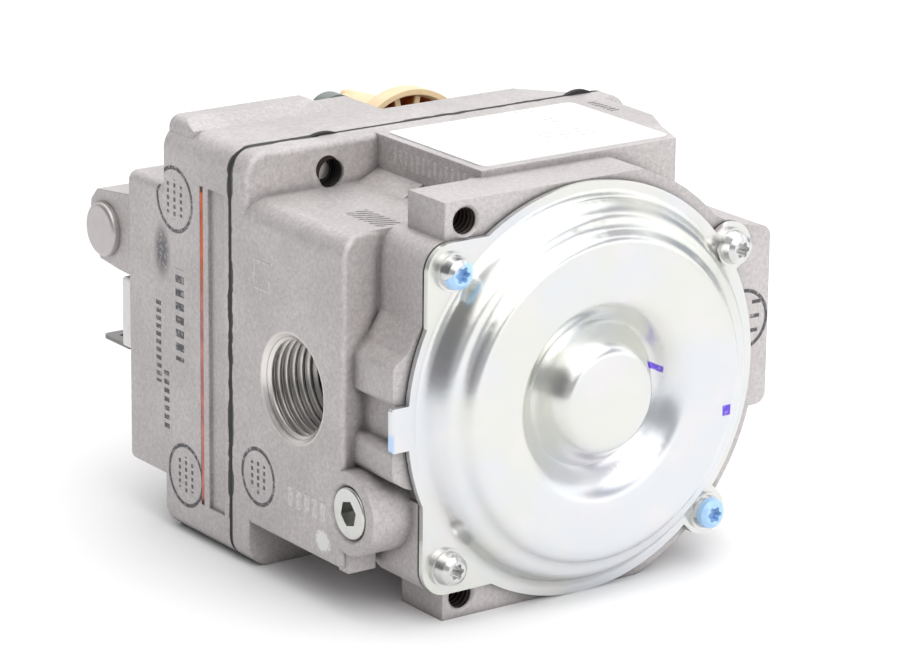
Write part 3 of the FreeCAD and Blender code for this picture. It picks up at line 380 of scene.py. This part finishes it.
def painted_screws(name):
    """Plated screw heads, two of them dabbed with blue paint over one side."""
    net = Net(name)
    where = net.place()
    x, y, z = net.split(where)
    color = net.tinted(where, (0.66, 0.66, 0.65), 0.05, 0.3)
    dabs = []
    for cx, cz, along_x, along_z, reach in PAINTED_SCREWS:
        side = net.math("ADD", net.math("MULTIPLY", net.math("SUBTRACT", x, cx), along_x),
                        net.math("MULTIPLY", net.math("SUBTRACT", z, cz), along_z))
        side = net.math("ADD", side, net.math("MULTIPLY", net.math("SUBTRACT", y, 4.5), 0.4))
        near = net.ring_fill(x, z, cx, cz, SCREW_REACH, SCREW_REACH)
        dabs.append(net.both(net.ramp(side, reach, reach + 0.3), near))
    dab = net.both(net.ramp(y, 3.2, 3.7), net.any(dabs))
    color = net.mix(dab, color, DAB_BLUE)
    metal = net.math("SUBTRACT", 1.0, net.math("MULTIPLY", dab, 0.9))
    net.shade(color, net.ramp(net.noise(where, 0.5), 0.3, 0.7, 0.22, 0.26), metal)
    return net.material


def ivory_dial(name):
    """Ivory plastic, with brown painted shade where the dial is hollow behind its ribs."""
    net = Net(name)
    where = net.place()
    x, y, z = net.split(where)
    color = net.tinted(where, (0.86, 0.66, 0.40), 0.05, 0.3)
    # Painted shade in the pockets behind the ribs.
    hollow = net.ring_fill(x, z, DIAL_X, DIAL_Z, DIAL_HOLLOW_RADIUS, DIAL_HOLLOW_RADIUS)
    hollow = net.both(hollow, net.ramp(y, -83.7, -84.2))
    hollow = net.both(hollow, net.ramp(y, -91.5, -91.0))
    color = net.mix(hollow, color, DIAL_HOLLOW_SHADE)
    net.shade(color, net.ramp(net.noise(where, 0.6), 0.3, 0.7, 0.30, 0.42), 0.0, net.normal(0.25))
    return net.material


def fibre_gasket(name):
    """Fibre sheet, orange-red above and a dusty pink lower down."""
    net = Net(name)
    where = net.place()
    z = net.split(where)[2]
    upper = net.tinted(where, (0.62, 0.13, 0.05), 0.2, 0.3)
    lower = net.tinted(where, (0.58, 0.20, 0.18), 0.2, 0.3)
    color = net.mix(net.ramp(z, 4.0, 20.0), lower, upper)
    ends = net.ramp(net.gap(z, 0.0), 32.4, 33.0, 0.0, 0.85)
    color = net.mix(ends, color, GASKET_END)
    net.shade(color, 0.8, 0.0, net.normal(bump=net.noise(where, 3.0)))
    return net.material


def label_film(name):
    """White label with faint grey bars in place of print."""
    net = Net(name)
    where = net.place()
    x, y = net.split(where)[:2]
    color = net.tinted(where, (0.86, 0.86, 0.86), 0.015, 0.3)
    rows = []
    for cx, half, low, high in ((-14.5, 6.5, -31.0, -22.0), (-20.0, 1.8, -40.0, -34.0)):
        block = net.bar(x, y, cx, (low + high) / 2, half, (high - low) / 2)
        rows.append(net.both(block, net.dashes(y, 2.4, 0.3)))
    rows.append(net.ring(x, y, -18.4, -44.0, 2.4, 0.3))
    rows.append(net.bar(x, y, 4.5, -24.6, 4.5, 0.2))
    broken = net.ramp(net.noise(where, 0.9, 4.0), 0.40, 0.55, 0.0, 0.6)
    color = net.mix(net.both(net.any(rows), broken), color, PRINT_GREY)
    net.shade(color, 0.42, 0.0)
    return net.material


materials = {
    "die_cast": cast_metal("cast"),
    "zinc_plate": zinc_cover("zinc"),
    "steel": plain("screw_steel", (0.62, 0.62, 0.60), 0.26, 1.0, bevel=0.2),
    "dark_steel": plain("dark_steel", (0.20, 0.23, 0.22), 0.40, 0.6, bevel=0.2),
    "spring_steel": plain("spring_wire", (0.45, 0.45, 0.46), 0.3, 1.0),
    "stainless": plain("stainless", (0.16, 0.15, 0.14), 0.45, 0.8, bevel=0.1),
    "brass": plain("brass", (0.70, 0.54, 0.26), 0.3, 1.0, bevel=0.15),
    "black_rubber": plain("gasket_black", (0.022, 0.021, 0.021), 0.7, bump=0.2),
    "red_fibre": fibre_gasket("gasket_red"),
    "ivory_plastic": ivory_dial("ivory"),
    "white_plastic": plain("white_board", (0.80, 0.80, 0.77), 0.45, spread=0.03, bevel=0.2),
    "dark_plastic": plain("dark_plastic", (0.05, 0.05, 0.055), 0.45, bevel=0.2),
    "tinned_brass": plain("tin", (0.20, 0.19, 0.19), 0.35, 0.9, bevel=0.1),
    "grey_cap": plain("turned_cap", (0.50, 0.50, 0.50), 0.3, 1.0, bevel=0.2),
    "copper_wire": plain("copper", (0.60, 0.28, 0.14), 0.35, 0.8, scale=4.0),
    "label_film": label_film("label"),
}
own_finish = {
    "cover_screws": painted_screws("painted_screws"),
    "filter_cap": plain("cap_steel", (0.50, 0.47, 0.46), 0.38, 0.75, bevel=0.3),
}

for entry in frame["record"]["subparts"]:
    piece = frame["nodes"][entry["node"]]
    piece.data.materials.clear()
    piece.data.materials.append(own_finish.get(entry["node"], materials[entry["material_slot"]]))

# ---- Floor ----
FLOOR_SIZE = 6.0
bpy.ops.mesh.primitive_plane_add(size=FLOOR_SIZE, location=(0, 0, 0))
floor = bpy.context.object
floor.name = "floor"
floor.data.materials.append(plain("floor_paper", (0.90, 0.90, 0.90), 0.9, spread=0.01, scale=0.01))


# ---- Light ----
def area_light(name, position, target, size, power, color=(1, 1, 1)):
    lamp = bpy.data.lights.new(name, "AREA")
    lamp.shape = "DISK"
    lamp.size = size
    lamp.energy = power
    lamp.color = color
    holder = bpy.data.objects.new(name, lamp)
    bpy.context.scene.collection.objects.link(holder)
    holder.location = position
    holder.rotation_euler = (Vector(target) - Vector(position)).to_track_quat("-Z", "Y").to_euler()


KEY_SPOT = (0.10, 0.68, 1.15)
TOP_SPOT = (-0.35, -0.50, 1.15)
LOOK_AT = (0.0, 0.0, 0.04)
area_light("softbox", KEY_SPOT, LOOK_AT, 2.0, 12.0, (1.0, 0.99, 0.98))
area_light("top", TOP_SPOT, LOOK_AT, 1.3, 4.5)

ROOM = (0.90, 0.90, 0.91)
# Direction, cosine where the patch starts, cosine where it is full, light.
PATCHES = (
    ((-0.50, -0.70, 0.20), 0.60, 0.90, (1.05, 1.05, 1.05)),
    ((-0.30, 0.78, 0.50), 0.30, 0.85, (1.62, 1.62, 1.63)),
    ((0.95, -0.10, 0.20), 0.42, 0.88, (0.18, 0.18, 0.19)),
    ((0.45, 0.75, 0.15), 0.80, 0.93, (0.42, 0.43, 0.45)),
    ((-0.45, 0.65, 0.58), 0.90, 0.97, (0.45, 0.47, 0.54)),
    ((-0.50, -0.10, 0.80), 0.90, 0.98, (0.45, 0.47, 0.54)),
    ((-0.97, -0.20, 0.12), 0.93, 0.985, (0.40, 0.44, 0.52)),
)
BACKDROP = 1.05


def studio_world():
    """Pale room with a bright backdrop and a few darker parts; the lens itself sees plain white."""
    world = bpy.data.worlds.new("studio")
    bpy.context.scene.world = world
    world.use_nodes = True
    tree = world.node_tree
    tree.nodes.clear()
    output = tree.nodes.new("ShaderNodeOutputWorld")
    plain_sky = tree.nodes.new("ShaderNodeBackground")
    plain_sky.inputs[0].default_value = (1, 1, 1, 1)
    plain_sky.inputs[1].default_value = BACKDROP
    lit_sky = tree.nodes.new("ShaderNodeBackground")
    lit_sky.inputs[1].default_value = 1.0
    coords = tree.nodes.new("ShaderNodeTexCoord")
    last = None
    for direction, start, full, light in PATCHES:
        dot = tree.nodes.new("ShaderNodeVectorMath")
        dot.operation = "DOT_PRODUCT"
        dot.inputs[1].default_value = Vector(direction).normalized()
        tree.links.new(coords.outputs["Generated"], dot.inputs[0])
        fade = tree.nodes.new("ShaderNodeMapRange")
        fade.interpolation_type = "SMOOTHSTEP"
        for socket, number in zip(fade.inputs[1:5], (start, full, 0.0, 1.0)):
            socket.default_value = number
        tree.links.new(dot.outputs["Value"], fade.inputs[0])
        shade = tree.nodes.new("ShaderNodeMix")
        shade.data_type = "RGBA"
        tree.links.new(fade.outputs[0], shade.inputs[0])
        shade.inputs[6].default_value = ROOM + (1.0,)
        if last is not None:
            tree.links.new(last, shade.inputs[6])
        shade.inputs[7].default_value = light + (1.0,)
        last = shade.outputs[2]
    tree.links.new(last, lit_sky.inputs[0])
    path = tree.nodes.new("ShaderNodeLightPath")
    choose = tree.nodes.new("ShaderNodeMixShader")
    tree.links.new(path.outputs["Is Camera Ray"], choose.inputs[0])
    tree.links.new(lit_sky.outputs[0], choose.inputs[1])
    tree.links.new(plain_sky.outputs[0], choose.inputs[2])
    tree.links.new(choose.outputs[0], output.inputs[0])


studio_world()

# ---- Camera ----
YAW = math.radians(35.6)
PITCH = math.radians(16.85)
ROLL = math.radians(0.65)
ASIDE, ABOVE, AWAY = -25.58, 11.03, 836.67      # from the drawing frame's origin, in millimetres
SENSOR = 36.0
FOCAL_LENGTH = 168.8


def place_camera():
    """Looks at the cover from the inlet side and a little above, turned slightly about its own axis."""
    back = Vector((math.sin(YAW) * math.cos(PITCH), math.cos(YAW) * math.cos(PITCH), math.sin(PITCH)))
    right = (-back).cross(Vector((0, 0, 1))).normalized()
    up = right.cross(-back).normalized()
    right_rolled = right * math.cos(ROLL) + up * math.sin(ROLL)
    up_rolled = up * math.cos(ROLL) - right * math.sin(ROLL)
    centre = (right_rolled * ASIDE + up_rolled * ABOVE + back * AWAY) * MM + SHIFT
    lens = bpy.data.cameras.new("camera")
    lens.sensor_width = SENSOR
    lens.lens = FOCAL_LENGTH
    holder = bpy.data.objects.new("camera", lens)
    bpy.context.scene.collection.objects.link(holder)
    turn = Matrix((right_rolled, up_rolled, back)).transposed()
    holder.matrix_world = Matrix.Translation(centre) @ turn.to_4x4()
    bpy.context.scene.camera = holder


place_camera()
bpy.context.scene.view_settings.view_transform = "Standard"
